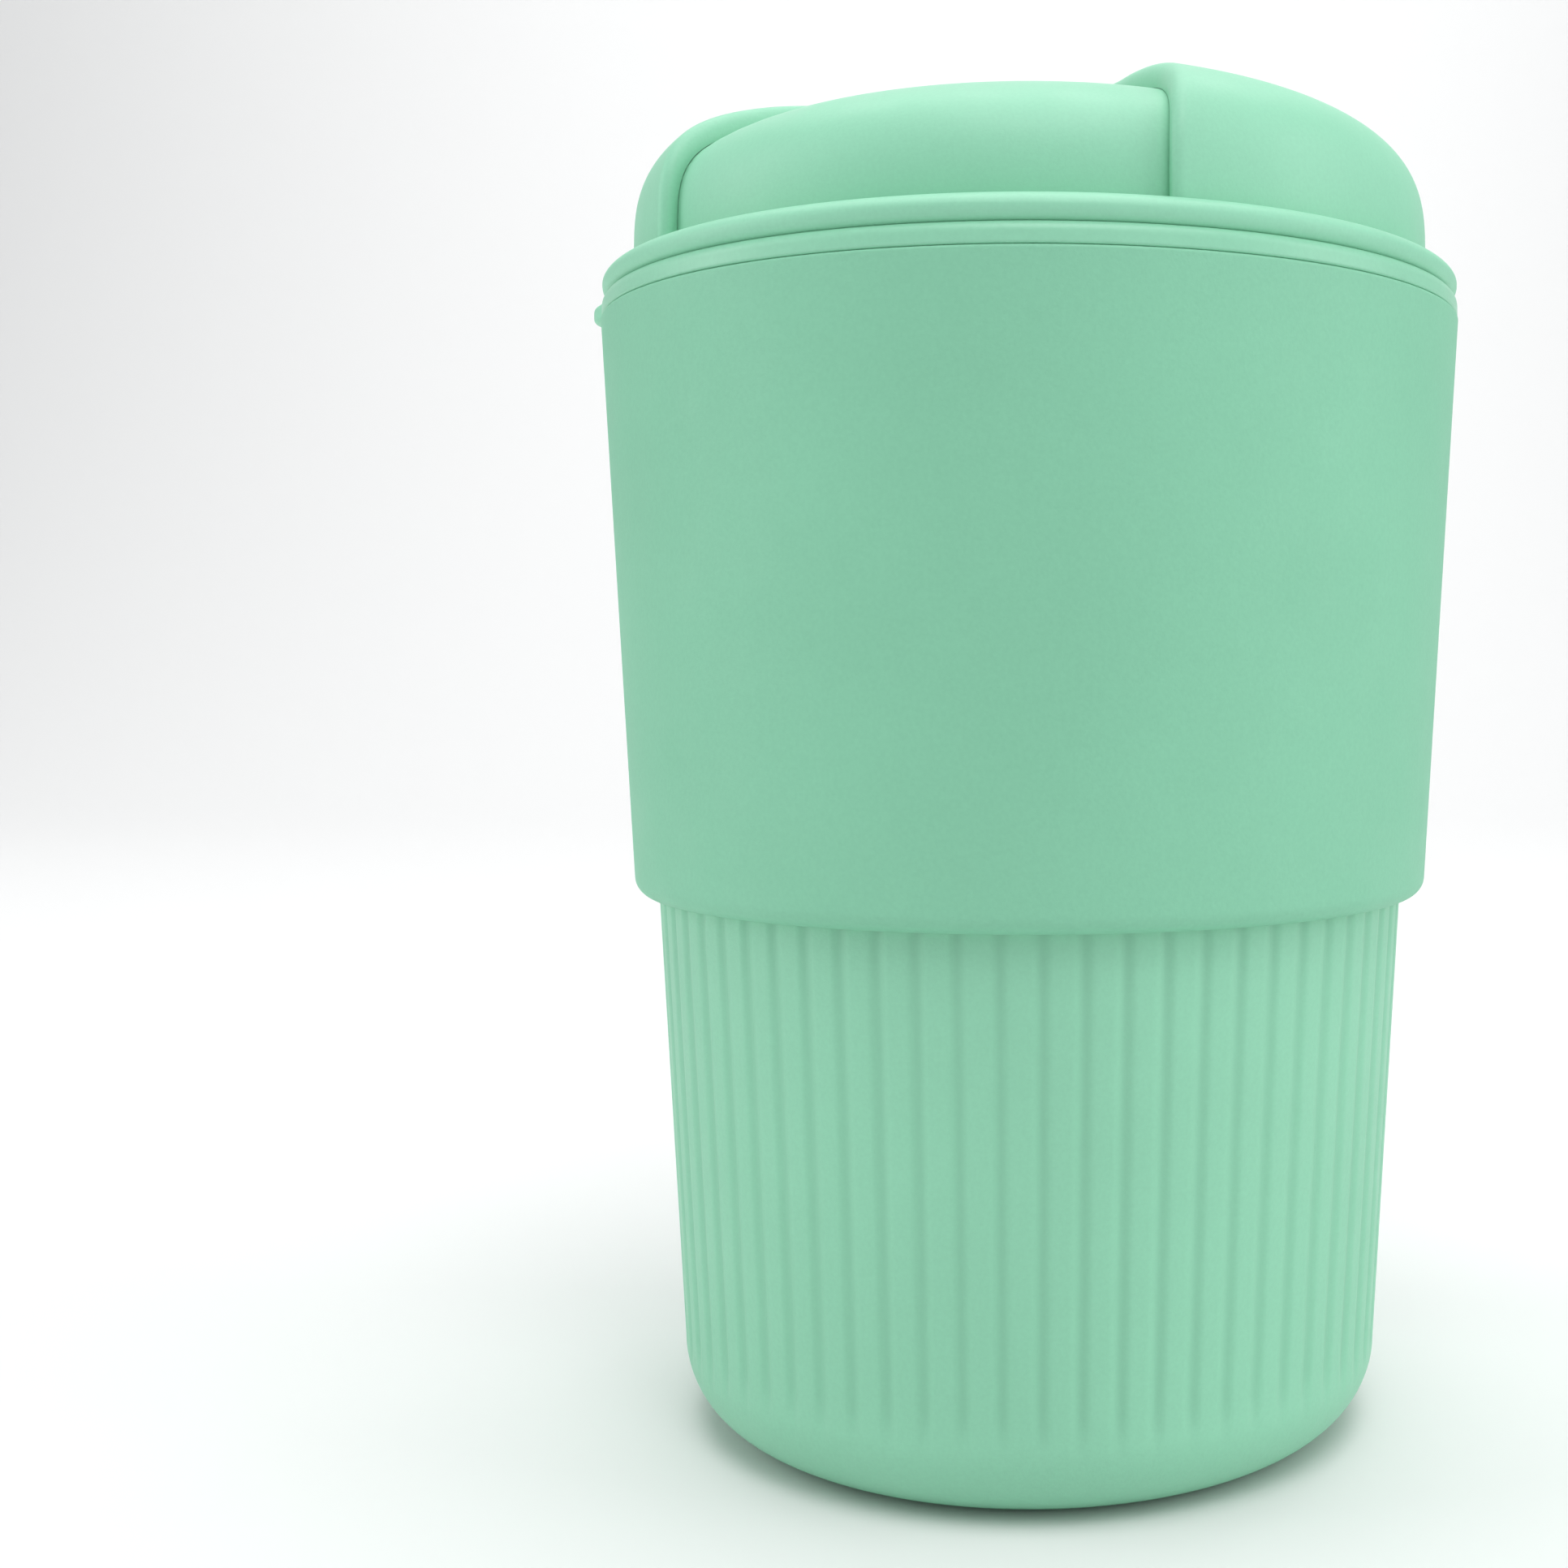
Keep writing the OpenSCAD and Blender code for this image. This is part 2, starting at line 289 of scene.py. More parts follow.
def boolean(piece, tool, operation, sharp=40):
    """Joins a tool to a piece or cuts it away, and removes the tool."""
    change = piece.modifiers.new("cut", "BOOLEAN")
    change.object = tool
    change.operation = operation
    change.solver = "EXACT"
    graph = bpy.context.evaluated_depsgraph_get()
    mesh = bpy.data.meshes.new_from_object(piece.evaluated_get(graph))
    piece.modifiers.clear()
    old = piece.data
    piece.data = mesh
    bpy.data.meshes.remove(old)
    bpy.data.objects.remove(tool)
    finish_mesh(piece, sharp)


def cylinder(name, x, y, low, high, radius, columns=48):
    """Plain upright cylinder, used only as a cutting tool."""
    angles = np.arange(columns) / columns * 2 * math.pi
    rings = [(x + radius * math.cos(a), y + radius * math.sin(a), z) for z in (low, high) for a in angles]
    faces = grid_faces(2, columns, False)
    faces.append(tuple(range(columns)))
    faces.append(tuple(range(2 * columns - 1, columns - 1, -1)))
    return make_object(name, rings, faces)


# ---------------------------------------------------------------- pieces of the cup
def build_outer_cup():
    """Ribbed cup: the grooves are soft-edged and fade out on the rounded corner."""
    per_groove = 14
    columns = GROOVES * per_groove
    wall_low = CORNER_R
    corner_mid = wall_r(wall_low) - CORNER_R
    in_corner_r = CORNER_R - OUTER_WALL
    fade_rows = np.linspace(wall_low, GROOVE_FADE_HIGH + 1, 9)[1:]
    outside = arc(corner_mid, CORNER_R, CORNER_R, -90, 0, 26)
    outside += [(wall_r(z), z) for z in fade_rows]
    outside += [(wall_r(z), z) for z in (20, 32, 44, 54, 58, 80, 100)]
    top = [(wall_r(OUTER_TOP), OUTER_TOP), (wall_r(OUTER_TOP) - OUTER_WALL, OUTER_TOP)]
    inside = arc(corner_mid, BASE_THICK + in_corner_r, in_corner_r, 0, -90, 12)
    outline = supported(outside + top + inside, long=2.5, step=20)
    outside_rows = len(supported(outside + top[:1], long=2.5, step=20)) - 1
    foot = [(r, 0.0) for r in (8, 18, corner_mid - 0.3)]
    floor = [(r, BASE_THICK) for r in (corner_mid - 0.3, 15)]
    rings = foot + outline + floor
    angles = np.arange(columns) / columns * 2 * math.pi
    phase = (np.arange(columns) / per_groove + 0.5) % 1 - 0.5
    pitch = 2 * math.pi / GROOVES
    vertices = []
    groove_shade_weights = []
    for number, (r, z) in enumerate(rings):
        depth = np.zeros(columns)
        if number < len(foot) + outside_rows:
            across = np.abs(phase) * pitch * max(r, 1) / (GROOVE_WIDTH / 2)
            shape = np.where(across < 1, 0.5 + 0.5 * np.cos(math.pi * across.clip(0, 1)), 0)
            rise = np.clip((z - GROOVE_FADE_LOW) / (GROOVE_FADE_HIGH - GROOVE_FADE_LOW), 0, 1)
            depth = shape * GROOVE_DEPTH * rise * rise * (3 - 2 * rise)
        vertices += [((r - d) * math.sin(a), -(r - d) * math.cos(a), z) for a, d in zip(angles, depth)]
        groove_shade_weights += (depth / GROOVE_DEPTH).tolist()
    faces = grid_faces(len(rings), columns, False)
    centre = len(vertices)
    vertices += [(0, 0, 0), (0, 0, BASE_THICK)]
    last_ring = (len(rings) - 1) * columns
    for j in range(columns):
        k = (j + 1) % columns
        faces.append((centre, k, j))
        faces.append((centre + 1, last_ring + j, last_ring + k))
    groove_shade_weights += [0, 0]
    piece = make_object("outer_cup_skin", vertices, faces)
    # Painted shade: each point's groove depth, from 0 to 1, is kept for the material, which darkens the
    # colour inside the grooves where shade falls.
    painted_groove_shade = piece.data.attributes.new("painted_groove_shade", "FLOAT", "POINT")
    painted_groove_shade.data.foreach_set("value", groove_shade_weights)
    return piece


def build_inner_cup():
    """Smooth inner cup with the rim flange that shows between the lid and the sleeve."""
    band_r = wall_r(OUTER_TOP) - OUTER_WALL - SNUG_GAP
    band_low_r = wall_r(OUTER_TOP - 8) - OUTER_WALL - SNUG_GAP
    corner_z = FLOOR_TOP + FLOOR_CORNER_R
    outer_seat = SEAT_R + INNER_WALL
    outline = [(0, FLOOR_TOP - INNER_WALL), (10, FLOOR_TOP - INNER_WALL)]
    outline += arc(FLOOR_R - FLOOR_CORNER_R + INNER_WALL, corner_z, FLOOR_CORNER_R, -90, -5, 14)
    outline += [(outer_seat, SEAT_BOTTOM), (outer_seat, OUTER_TOP - 10),
                (band_low_r, OUTER_TOP - 8), (band_r, OUTER_TOP)]
    outline += arc(RIM_R - RIM_LOW_EDGE_R, OUTER_TOP + RIM_LOW_EDGE_R, RIM_LOW_EDGE_R, -90, 0, 8)
    top_edge_z = RIM_TOP - RIM_TOP_EDGE_R * math.sin(math.radians(RIM_TOP_TURN))
    outline += arc(RIM_R - RIM_TOP_EDGE_R, top_edge_z, RIM_TOP_EDGE_R, 0, RIM_TOP_TURN, 10)
    outline += arc(SEAT_R + RIM_TOP_EDGE_R, RIM_TOP - RIM_TOP_EDGE_R, RIM_TOP_EDGE_R, 90, 180, 8)
    outline += [(SEAT_R, SEAT_BOTTOM)]
    outline += arc(FLOOR_R - FLOOR_CORNER_R, corner_z, FLOOR_CORNER_R, -5, -90, 14)
    outline += [(10, FLOOR_TOP), (0, FLOOR_TOP)]
    return lathe("inner_cup_skin", supported(outline), 256)


def build_sleeve():
    """Smooth sleeve with a full round at its lower edge."""
    edge_z = SLEEVE_BOTTOM + SLEEVE_EDGE_R
    edge_r = wall_r(edge_z) + SLEEVE_WALL - SLEEVE_EDGE_R
    top_r = wall_r(SLEEVE_TOP) + SLEEVE_WALL - SLEEVE_TOP_EDGE_R
    lean = math.degrees(WALL_LEAN)
    outline = [(wall_r(SLEEVE_BOTTOM) + SNUG_GAP, SLEEVE_BOTTOM)]
    outline += arc(edge_r, edge_z, SLEEVE_EDGE_R, -90, -lean, 16)
    outline += arc(top_r, SLEEVE_TOP - SLEEVE_TOP_EDGE_R, SLEEVE_TOP_EDGE_R, -lean, 90, 8)
    outline += [(wall_r(SLEEVE_TOP) + SNUG_GAP, SLEEVE_TOP)]
    outline.append(outline[0])
    return lathe("sleeve_skin", supported(outline)[:-1], 256)


# ---------------------------------------------------------------- lid
def lid_angles():
    """Angles of the lid's columns, closer together round the lift tab."""
    steps = np.linspace(-math.pi, math.pi, 20001)
    density = 1 + 5 * np.exp(-((steps - TAB_ANGLE) / 0.13) ** 4)
    total = np.concatenate([[0], np.cumsum((density[1:] + density[:-1]) / 2)])
    return np.interp(np.arange(440) / 440, total / total[-1], steps)


def slot_reach(angle):
    """Distance from the drinking hole's centre to its edge; angle 0 points away from the lid's axis."""
    c = np.abs(np.cos(angle))
    s = np.abs(np.sin(angle))
    side = HOLE_HALF_WIDTH / np.maximum(c, 1e-9)
    end = HOLE_HALF_STRAIGHT * s + np.sqrt(
        np.maximum(HOLE_HALF_WIDTH ** 2 - (HOLE_HALF_STRAIGHT * c) ** 2, 0))
    return np.where(side * s <= HOLE_HALF_STRAIGHT, side, end)


def dome_points(dome, plan):
    """Points on a dome from its flattened plan, where the foot's circle has radius 1."""
    share = np.linalg.norm(plan, axis=-1)
    r, z = dome.at(share)
    unit = plan / np.maximum(share, 1e-9)[..., None]
    return np.concatenate([unit * r[..., None], z[..., None]], axis=-1)


def lid_rim_outline():
    """Outline from the dome's foot, round the flange and the skirt, to the dome's inner foot."""
    shoulder_r = FLANGE_R - SHOULDER_WIDTH
    groove_in = SKIRT_R - GASKET_DEPTH
    points = [(DOME_R, FLANGE_TOP)]
    points += oval(shoulder_r, FLANGE_TOP - SHOULDER_DROP, SHOULDER_WIDTH, SHOULDER_DROP, 90, 0, 26)
    under_z = FLANGE_UNDER + UNDER_HEIGHT * math.sin(math.radians(UNDER_TURN))
    points += oval(FLANGE_R - UNDER_WIDTH, under_z, UNDER_WIDTH, UNDER_HEIGHT, 0, -UNDER_TURN, 14)
    points += [(SKIRT_R, FLANGE_UNDER), (SKIRT_R, gasket_high[2] + SNUG_GAP),
               (groove_in, gasket_high[2] + SNUG_GAP), (groove_in, gasket_low[2] - SNUG_GAP),
               (SKIRT_R, gasket_low[2] - SNUG_GAP), (SKIRT_R, SKIRT_BOTTOM + 1.4)]
    points += [(SKIRT_R - 0.8, SKIRT_BOTTOM), (SKIRT_IN_R, SKIRT_BOTTOM),
               (SKIRT_IN_R, FLANGE_TOP), (DOME_R - DOME_WALL, FLANGE_TOP)]
    return supported(points, long=0.5)


def tab_push(angle, r, z):
    """How far the lift tab moves a point of the flange outward."""
    off = (angle - TAB_ANGLE + math.pi) % (2 * math.pi) - math.pi
    across = TAB_OFFSET * np.sin(off)
    reach = TAB_OFFSET * np.cos(off) + np.sqrt(np.maximum(TAB_R ** 2 - across ** 2, 0))
    out = np.where(np.abs(across) < TAB_R, np.maximum(reach - FLANGE_R, 0), 0)
    out += (FLANGE_R - r) * np.clip(out / 0.8, 0, 1)
    level = np.clip(np.abs(z - FLANGE_UNDER - TAB_THICK / 2) / (TAB_THICK / 2), 0, 1)
    return out * (1 - level ** 4) ** (1 / 4)


def build_lid():
    """Lid: dome with a soft-edged drinking hole, flange with its lift tab, skirt and hub."""
    angles = lid_angles()
    columns = len(angles)
    foot = direction(angles).T
    hole = direction(HOLE_ANGLE) * LID_DOME.share_at(HOLE_RING_R)
    ray = foot - hole
    span = np.linalg.norm(ray, axis=1)
    ray /= span[:, None]
    bearing = np.arctan2(ray[:, 0], -ray[:, 1]) - HOLE_ANGLE
    edge = slot_reach(bearing) / LID_DOME.length

    rows = []
    edge_share = HOLE_EDGE_R / LID_DOME.length
    for t in np.radians(np.linspace(0, 90, 8)):
        out = edge_share * (1 - math.cos(t))
        sink = HOLE_EDGE_R * (1 - math.sin(t))
        at = dome_points(LID_DOME, hole + ray * (edge + out)[:, None])
        at[:, 2] -= sink
        rows.append(at)
    start = edge + edge_share
    for t in np.concatenate([[0.012], np.linspace(0.04, 1, 46)]):
        rows.append(dome_points(LID_DOME, hole + ray * (start + (span - start) * t)[:, None]))
    for r, z in lid_rim_outline():
        moves_from = SKIRT_R + 3 if z > FLANGE_UNDER + 0.01 else UNDER_FLAT_R - 0.01
        push = tab_push(angles, r, z) if r > moves_from else np.zeros(columns)
        droop = TAB_DROOP * ((r + push - TAB_DROOP_R) / TAB_DROOP_WIDTH).clip(0, 1)
        rows.append(np.column_stack([foot * (r + push)[:, None], z - droop]))
    for t in np.linspace(1, 0, 18):
        rows.append(dome_points(LID_DOME_IN, hole + ray * (edge + (span - edge) * t)[:, None]))
    vertices = np.concatenate(rows)
    piece = make_object("lid_skin", vertices, grid_faces(len(rows), columns, True))

    dome_in_top = DOME_FOOT + DOME_RISE - DOME_WALL
    seal_top = seal_high[2] + SNUG_GAP
    hub = [(BORE_R, seal_top), (SEAL_R + SNUG_GAP, seal_top), (SEAL_R + SNUG_GAP, HUB_BOTTOM),
           (HUB_R - 0.3, HUB_BOTTOM), (HUB_R, HUB_BOTTOM + 0.3),
           (HUB_R, dome_in_top + 0.5), (BORE_R, dome_in_top + 0.5), (BORE_R, seal_top)]
    boolean(piece, lathe("hub", supported(hub)[:-1], 96), "UNION")
    boolean(piece, stop_ring(dome_in_top), "UNION")
    bore = cylinder("bore", 0, 0, HUB_BOTTOM + 3, DOME_FOOT + DOME_RISE + 1, BORE_R, 96)
    boolean(piece, bore, "DIFFERENCE")
    x, y = direction(HOLE_ANGLE) * VENT_RING_R
    vent = cylinder("vent", x, y, DOME_FOOT, DOME_FOOT + DOME_RISE + 1, VENT_R, 40)
    boolean(piece, vent, "DIFFERENCE")
    return piece


def stop_ring(top):
    """Part-ring under the lid's dome that stops the retainer's arm."""
    steps = 64
    start = math.pi + HOLE_ANGLE + STOP_CLEAR
    end = start + 2 * math.pi - HOLE_ANGLE - 2 * STOP_CLEAR
    vertices = []
    for a in np.linspace(start, end, steps + 1):
        across = direction(a)
        for r, z in ((STOP_IN_R, STOP_BOTTOM), (STOP_OUT_R, STOP_BOTTOM),
                     (STOP_OUT_R, top), (STOP_IN_R, top)):
            vertices.append((across[0] * r, across[1] * r, z))
    faces = [(4 * i + j, 4 * i + (j + 1) % 4, 4 * i + 4 + (j + 1) % 4, 4 * i + 4 + j)
             for i in range(steps) for j in range(4)]
    faces += [(0, 1, 2, 3), tuple(4 * steps + j for j in (3, 2, 1, 0))]
    return make_object("stop_ring", vertices, faces)


# ---------------------------------------------------------------- hood
def notch_outline(foot_r):
    """Notch's edge in plan inside a foot circle, from +X round the back, and its half angle at the foot."""
    side = math.asin((NOTCH_R - NOTCH_TIP_R) / (NOTCH_OFFSET - NOTCH_TIP_OFFSET))
    from_axis = math.acos((foot_r ** 2 + NOTCH_OFFSET ** 2 - NOTCH_R ** 2) / (2 * foot_r * NOTCH_OFFSET))
    first = math.atan2(NOTCH_OFFSET - foot_r * math.cos(from_axis), foot_r * math.sin(from_axis))
    wide = first + (side - first) * np.linspace(0, 1, 600) ** 3
    tip = np.linspace(side, math.pi - side, 400)
    points = [np.column_stack([NOTCH_R * np.cos(wide), NOTCH_R * np.sin(wide) - NOTCH_OFFSET]),
              np.column_stack([NOTCH_TIP_R * np.cos(tip), NOTCH_TIP_R * np.sin(tip) - NOTCH_TIP_OFFSET])]
    return np.concatenate(points + [points[0][::-1] * (-1, 1)]), from_axis


def from_notch(x, y):
    """Distance in plan from the notch's edge, above 0 outside the notch."""
    length = NOTCH_OFFSET - NOTCH_TIP_OFFSET
    lean = (NOTCH_R - NOTCH_TIP_R) / length
    upright = math.sqrt(1 - lean ** 2)
    x = np.abs(x)
    y = y + NOTCH_OFFSET
    along = upright * y - lean * x
    beside = upright * x + lean * y - NOTCH_R
    wide = np.hypot(x, y) - NOTCH_R
    tip = np.hypot(x, y - length) - NOTCH_TIP_R
    return np.where(along < 0, wide, np.where(along > upright * length, tip, beside))


def build_hood():
    """Hood: a domed shell whose notch has a soft, full-round edge, with the stem that it turns on."""
    columns = 401
    even = np.linspace(0, 1, columns)
    spread = even - COLUMN_CROWDING * np.sin(2 * math.pi * even) / (2 * math.pi)

    def fan(dome):
        """Flattened plan of the notch's edge on a dome, and of the foot beyond it."""
        notch, from_axis = notch_outline(dome.r[-1])
        radius = np.linalg.norm(notch, axis=1)
        flat = notch / radius[:, None] * dome.share_at(radius)[:, None]
        walk = np.concatenate([[0], np.cumsum(np.linalg.norm(np.diff(flat, axis=0), axis=1))])
        start = np.column_stack([np.interp(spread * walk[-1], walk, flat[:, i]) for i in (0, 1)])
        return start, direction(from_axis + 2 * (math.pi - from_axis) * spread).T

    fans = [(dome, *fan(dome)) for dome in (HOOD_DOME, LID_DOME, HOOD_DOME_IN)]

    def layer(shares, top):
        rows = []
        for t in shares:
            high, lid, low = (dome_points(dome, start + (end - start) * t) for dome, start, end in fans)
            from_wall = from_notch(high[:, 0], high[:, 1])
            away = (from_wall / LIP_BLEND).clip(0, 1)
            gap = LIP_GAP_SHARE + (1 - LIP_GAP_SHARE) * away * away * (3 - 2 * away)
            low = lid + (low - lid) * gap[:, None]
            if top:
                near = (1 - from_wall / HOOD_EDGE_R).clip(0, 1)
                weight = HOOD_LIP + (1 - HOOD_LIP) * np.sqrt(1 - near ** 2)
                low = low + (high - low) * weight[:, None]
            rows.append(low)
        foot = rows[-1].copy()
        foot[:, 2] = HOOD_FOOT
        rows.append(foot)
        return rows

    edge_steps = np.linspace(0, 1, 34) ** 2 * 0.22
    shares = np.concatenate([edge_steps, np.linspace(0.22, 1, 40)[1:]])
    outer = layer(shares, True)
    inner = layer(shares[::4].tolist() + [1.0], False)
    rows = outer + inner[::-1]
    vertices = np.concatenate(rows)
    faces = []
    count = len(rows)
    for i in range(count):
        a = i * columns
        b = (i + 1) % count * columns
        faces += [(a + j, a + j + 1, b + j + 1, b + j) for j in range(columns - 1)]
    piece = make_object("hood_skin", vertices, faces, 50)
    close_ends(piece)

    stem = [(0, STEM_BOTTOM), (STEM_R - 0.2, STEM_BOTTOM), (STEM_R, STEM_BOTTOM + 0.2),
            (STEM_R, DOME_FOOT + DOME_RISE + 1), (0, DOME_FOOT + DOME_RISE + 1)]
    boolean(piece, lathe("stem", supported(stem), 96), "UNION", 50)
    socket = cylinder("socket", 0, 0, STEM_BOTTOM - 1, STEM_BOTTOM + PIN_LENGTH, PIN_R + 0.03, 48)
    boolean(piece, socket, "DIFFERENCE", 50)
    boolean(piece, pad_pocket(), "DIFFERENCE", 50)
    return piece


def pad_pocket():
    """Cutting tool for the pocket that holds the spout seal under the hood."""
    lean = math.pi / 2 + math.asin((PAD_R - PAD_VENT_R) / (HOLE_RING_R - VENT_RING_R))
    outline = []
    for ring_r, pad_r, first, last in ((HOLE_RING_R, PAD_R, -lean, lean),
                                       (VENT_RING_R, PAD_VENT_R, lean, 2 * math.pi - lean)):
        for a in np.linspace(first, last, 41)[:-1]:
            outline.append(direction(HOLE_ANGLE) * ring_r + direction(HOLE_ANGLE + a) * (pad_r + SNUG_GAP))
    outline = np.array(outline)
    middle = direction(HOLE_ANGLE) * (HOLE_RING_R + VENT_RING_R) / 2
    pocket_top = Dome(DOME_R + FREE_GAP + PAD_THICK / 2, DOME_RISE + FREE_GAP + PAD_THICK + SNUG_GAP)
    steps = 16
    columns = len(outline)
    plan = [middle + (outline - middle) * share for share in np.linspace(1, 1 / steps, steps)]
    plan = np.concatenate(plan + [middle[None]])
    height = np.interp(np.linalg.norm(plan, axis=1), pocket_top.r, pocket_top.z)
    below = np.column_stack([outline, np.full(columns, DOME_FOOT)])
    vertices = np.concatenate([below, np.column_stack([plan, height])])
    faces = grid_faces(steps + 1, columns, False)
    faces.append(tuple(range(columns)))
    last_ring = steps * columns
    faces += [(len(vertices) - 1, last_ring + j, last_ring + (j + 1) % columns) for j in range(columns)]
    return make_object("pocket", vertices, faces)


def close_ends(piece):
    """Fills the small open ends of a shell."""
    shape = bmesh.new()
    shape.from_mesh(piece.data)
    bmesh.ops.remove_doubles(shape, verts=shape.verts, dist=1e-6)
    border = [e for e in shape.edges if e.is_boundary]
    if border:
        bmesh.ops.holes_fill(shape, edges=border, sides=0)
    bmesh.ops.recalc_face_normals(shape, faces=shape.faces)
    shape.to_mesh(piece.data)
    shape.free()


# ---------------------------------------------------------------- materials
def socket(node, name, value):
    node.inputs[name].default_value = value


def plastic(name, colour, roughness, grain, grain_size, painted_groove_shade=False):
    """Moulded plastic: fine eroded grain, faint mottling, and a softly uneven sheen."""
    material = bpy.data.materials.new(name)
    material.use_nodes = True
    nodes = material.node_tree.nodes
    links = material.node_tree.links
    shader = nodes["Principled BSDF"]
    place = nodes.new("ShaderNodeTexCoord")

    def noise(scale, detail, rough=0.5):
        node = nodes.new("ShaderNodeTexNoise")
        socket(node, "Scale", scale)
        socket(node, "Detail", detail)
        socket(node, "Roughness", rough)
        links.new(place.outputs["Object"], node.inputs["Vector"])
        return node.outputs["Fac"]

    def ramp(source, low, high):
        node = nodes.new("ShaderNodeMapRange")
        socket(node, "From Min", 0.3)
        socket(node, "From Max", 0.7)
        socket(node, "To Min", low)
        socket(node, "To Max", high)
        links.new(source, node.inputs["Value"])
        return node.outputs["Result"]

    def mix(a, b, factor):
        node = nodes.new("ShaderNodeMix")
        node.data_type = "RGBA"
        for slot, value in ((6, a), (7, b)):
            if isinstance(value, tuple):
                node.inputs[slot].default_value = value
            else:
                links.new(value, node.inputs[slot])
        links.new(factor, node.inputs[0])
        return node.outputs[2]

    darker = tuple(c * 0.955 for c in colour) + (1,)
    lighter = tuple(min(1, c * 1.035 + 0.004) for c in colour) + (1,)
    tone = mix(darker, lighter, ramp(noise(45, 4), 0, 1))
    fleck = mix(darker, lighter, ramp(noise(grain_size * 0.7, 2), 0, 1))
    blend = nodes.new("ShaderNodeMix")
    blend.data_type = "RGBA"
    blend.inputs[0].default_value = 0.45
    links.new(tone, blend.inputs[6])
    links.new(fleck, blend.inputs[7])
    colour_out = blend.outputs[2]
    # Painted shade: the colour darkens by up to about 7 percent at the bottom of each groove, standing in
    # for the shade in the grooves.
    if painted_groove_shade:
        depth = nodes.new("ShaderNodeAttribute")
        depth.attribute_name = "painted_groove_shade"
        shade = nodes.new("ShaderNodeMath")
        shade.operation = "MULTIPLY"
        shade.inputs[1].default_value = 0.5
        links.new(depth.outputs["Fac"], shade.inputs[0])
        groove_shade_colour = tuple(c * 0.86 for c in colour) + (1,)
        colour_out = mix(colour_out, groove_shade_colour, shade.outputs[0])
    links.new(colour_out, shader.inputs["Base Color"])
    links.new(ramp(noise(160, 3), roughness - 0.05, roughness + 0.05), shader.inputs["Roughness"])

    waves = nodes.new("ShaderNodeBump")
    socket(waves, "Strength", 0.05)
    socket(waves, "Distance", 0.0006)
    links.new(noise(70, 2), waves.inputs["Height"])
    fine = nodes.new("ShaderNodeBump")
    socket(fine, "Strength", grain)
    socket(fine, "Distance", 0.00008)
    links.new(noise(grain_size, 3, 0.6), fine.inputs["Height"])
    links.new(waves.outputs["Normal"], fine.inputs["Normal"])
    links.new(fine.outputs["Normal"], shader.inputs["Normal"])
    socket(shader, "Specular IOR Level", 0.42)
    return material


def silicone(name, colour):
    """Milky silicone with a faint bloom on its surface."""
    material = plastic(name, colour, 0.42, 0.15, 5200)
    shader = material.node_tree.nodes["Principled BSDF"]
    socket(shader, "Subsurface Weight", 0.25)
    shader.inputs["Subsurface Radius"].default_value = (0.002, 0.002, 0.002)
    return material


MINT = (0.266, 0.617, 0.421)
MINT_LID = (0.275, 0.635, 0.436)
MINT_SLEEVE = (0.226, 0.560, 0.374)
MILKY = (0.78, 0.84, 0.80)

# The cup's plastic gets painted shade in its grooves.
cup_plastic = plastic("cup_plastic", MINT, 0.50, 0.28, 3600, painted_groove_shade=True)
inner_plastic = plastic("inner_plastic", MINT, 0.38, 0.10, 3000)
sleeve_plastic = plastic("sleeve_plastic", MINT_SLEEVE, 0.60, 0.45, 3200)
lid_plastic = plastic("lid_plastic", MINT_LID, 0.48, 0.16, 3800)
milky_silicone = silicone("milky_silicone", MILKY)


def dress(piece, material, body, node):
    """Gives a new piece its material and body, and hides the CAD node that it stands for."""
    piece.data.materials.clear()
    piece.data.materials.append(material)
    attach(piece, body)
    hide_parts(node)


dress(build_outer_cup(), cup_plastic, "cup", "outer_cup")
dress(build_inner_cup(), inner_plastic, "cup", "inner_cup")
dress(build_sleeve(), sleeve_plastic, "cup", "sleeve")
dress(build_lid(), lid_plastic, "lid", "lid_shell")
dress(build_hood(), lid_plastic, "hood", "hood")

for node, material in (("lid_gasket", milky_silicone), ("stem_seal", milky_silicone),
                       ("spout_seal", milky_silicone), ("hood_retainer", lid_plastic)):
    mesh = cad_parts[node].data
    mesh.materials.clear()
    mesh.materials.append(material)


# ---------------------------------------------------------------- floor, light and camera
def plain_material(name, colour, roughness):
    material = bpy.data.materials.new(name)
    material.use_nodes = True
    shader = material.node_tree.nodes["Principled BSDF"]
    socket(shader, "Base Color", colour + (1,))
    socket(shader, "Roughness", roughness)
    return material


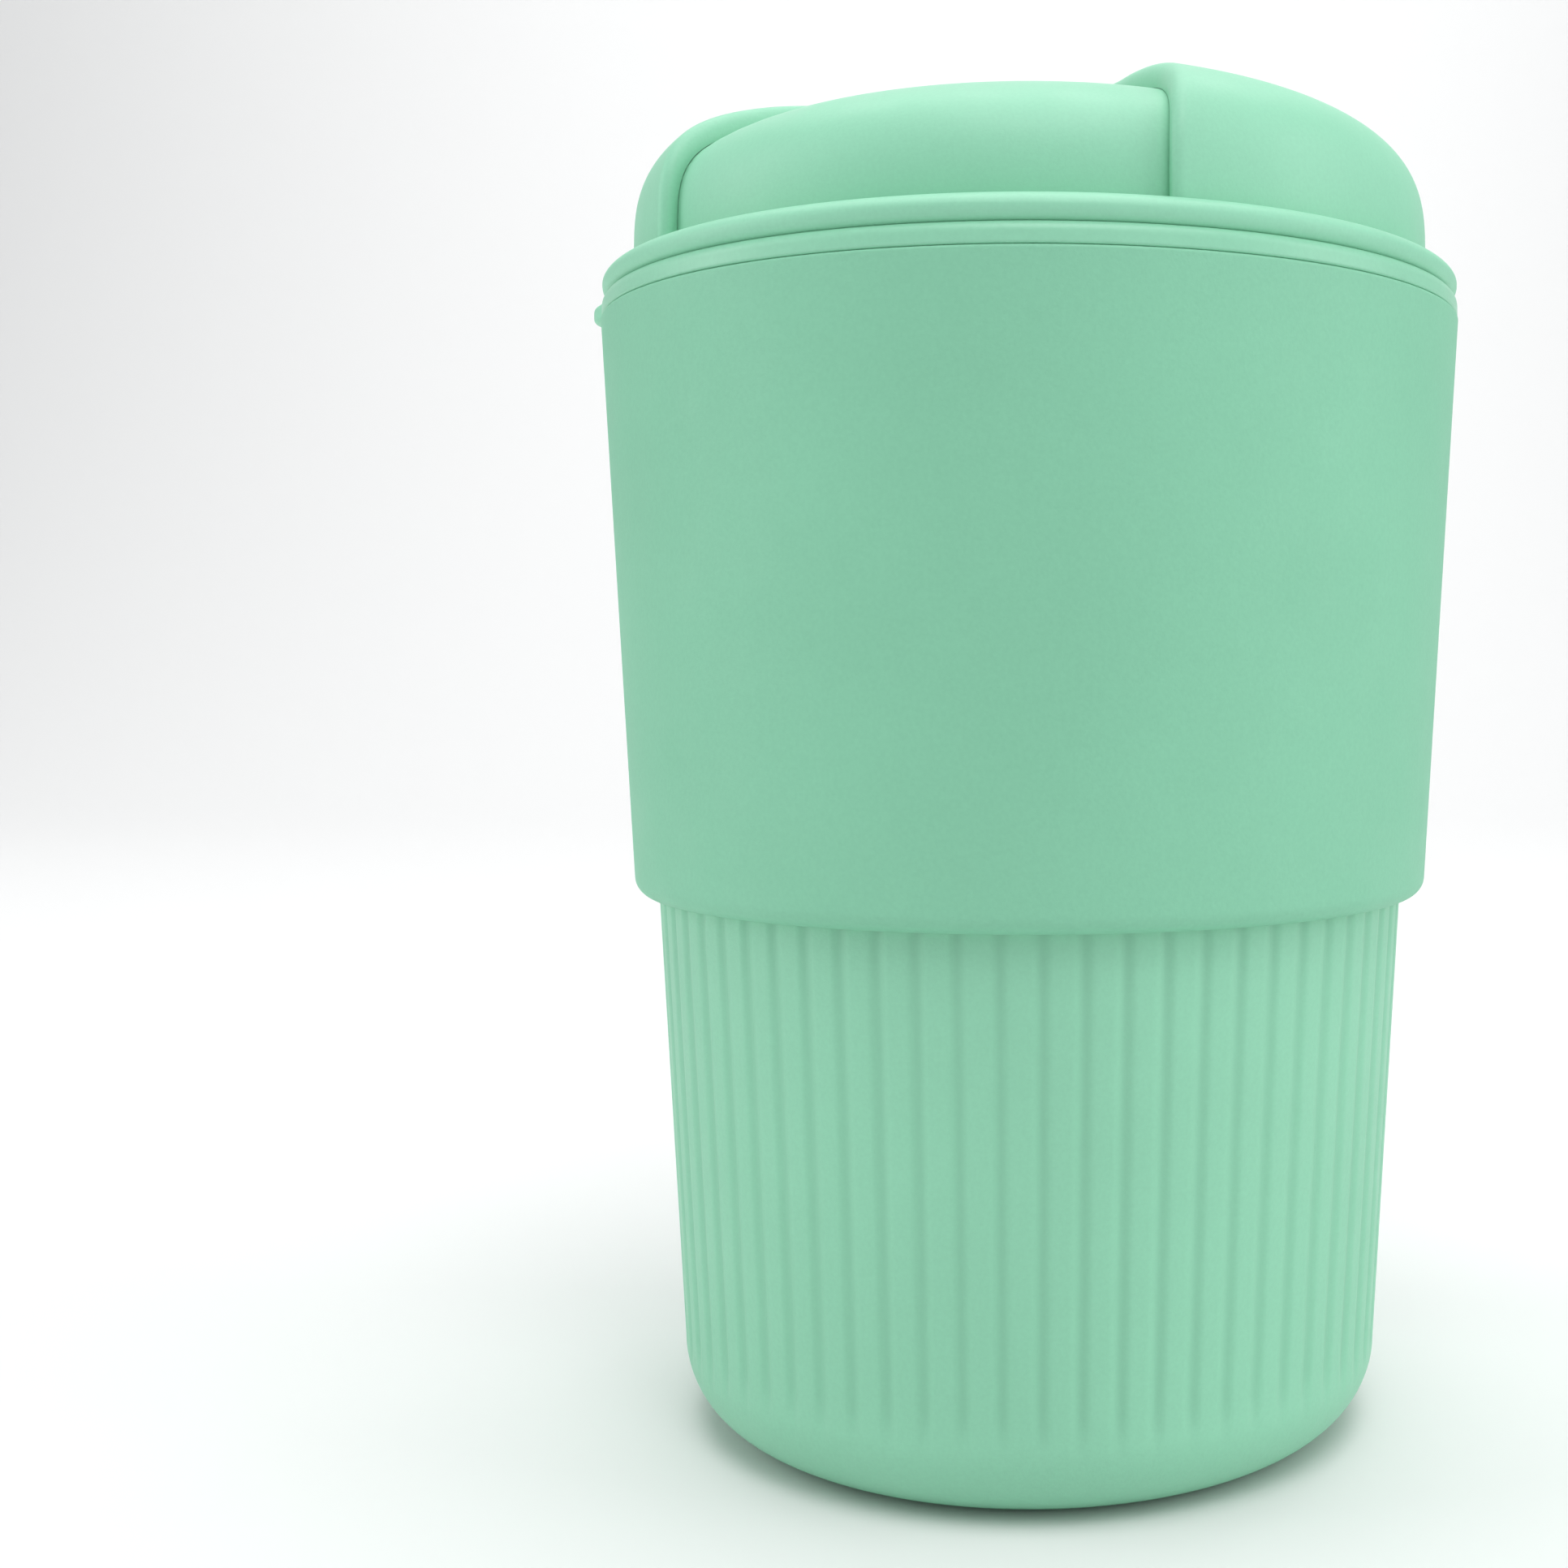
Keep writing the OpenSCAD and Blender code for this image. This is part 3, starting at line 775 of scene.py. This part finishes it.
def build_floor():
    """Pale floor that curves up behind the cup."""
    half = 2.5
    curve = 0.8
    back = 1.6
    outline = [(-2.0, 0.0), (back - curve, 0.0)]
    outline += [(back - curve + curve * math.sin(a), curve * (1 - math.cos(a)))
                for a in np.linspace(0, math.pi / 2, 17)[1:]]
    outline.append((back, 3.0))
    vertices = [(x, y, z) for y, z in outline for x in (-half, half)]
    faces = [(2 * i, 2 * i + 1, 2 * i + 3, 2 * i + 2) for i in range(len(outline) - 1)]
    mesh = bpy.data.meshes.new("floor")
    mesh.from_pydata(vertices, [], faces)
    mesh.shade_smooth()
    floor = bpy.data.objects.new("floor", mesh)
    floor.rotation_euler[2] = VIEW_ANGLE
    bpy.context.scene.collection.objects.link(floor)
    mesh.materials.append(plain_material("floor_paper", (0.79, 0.793, 0.79), 0.8))


VIEW_ANGLE = math.radians(20.5)
EYE_DISTANCE = 0.2175
EYE_HEIGHT = 0.0798
LENS = 45.24
SHIFT = (-0.1566, -0.0731)


def place(angle, distance, height):
    """Point at an angle from the camera's side, a distance from the cup's axis and a height."""
    x, y = direction(VIEW_ANGLE + math.radians(angle)) * distance
    return (x, y, height)


def add_light(name, where, size, power, aim=(0, 0, 0.08)):
    """Soft square lamp that faces a point."""
    data = bpy.data.lights.new(name, "AREA")
    data.shape = "RECTANGLE"
    data.size, data.size_y = size
    data.energy = power
    lamp = bpy.data.objects.new(name, data)
    lamp.location = where
    to = Vector(aim) - lamp.location
    lamp.rotation_euler = to.to_track_quat("-Z", "Y").to_euler()
    bpy.context.scene.collection.objects.link(lamp)


def build_stage():
    build_floor()
    world = bpy.data.worlds.new("studio")
    world.use_nodes = True
    back = world.node_tree.nodes["Background"]
    socket(back, "Color", (0.97, 0.98, 1.0, 1))
    socket(back, "Strength", 0.40)
    bpy.context.scene.world = world
    add_light("top_softbox", place(20, 0.25, 1.1), (1.0, 1.0), 6.3)
    add_light("front_softbox", place(10, 0.62, 0.95), (0.5, 0.5), 2.2)
    add_light("low_softbox", place(30, 0.75, 0.45), (0.3, 0.3), 0.35)
    add_light("left_softbox", place(-85, 0.9, 0.35), (0.5, 0.9), 3.05)
    add_light("right_softbox", place(80, 0.9, 0.35), (0.5, 0.9), 2.8)
    add_light("backdrop_light", place(180, 0.7, 1.5), (1.6, 0.4), 14.0, place(180, 1.6, 0.35))

    data = bpy.data.cameras.new("camera")
    data.sensor_width = 36
    data.lens = LENS
    data.shift_x, data.shift_y = SHIFT
    data.clip_start = 0.01
    camera = bpy.data.objects.new("camera", data)
    camera.location = place(0, EYE_DISTANCE, EYE_HEIGHT)
    camera.rotation_euler = (math.pi / 2, 0, VIEW_ANGLE)
    bpy.context.scene.collection.objects.link(camera)
    bpy.context.scene.camera = camera
    bpy.context.scene.view_settings.view_transform = "Standard"


build_stage()
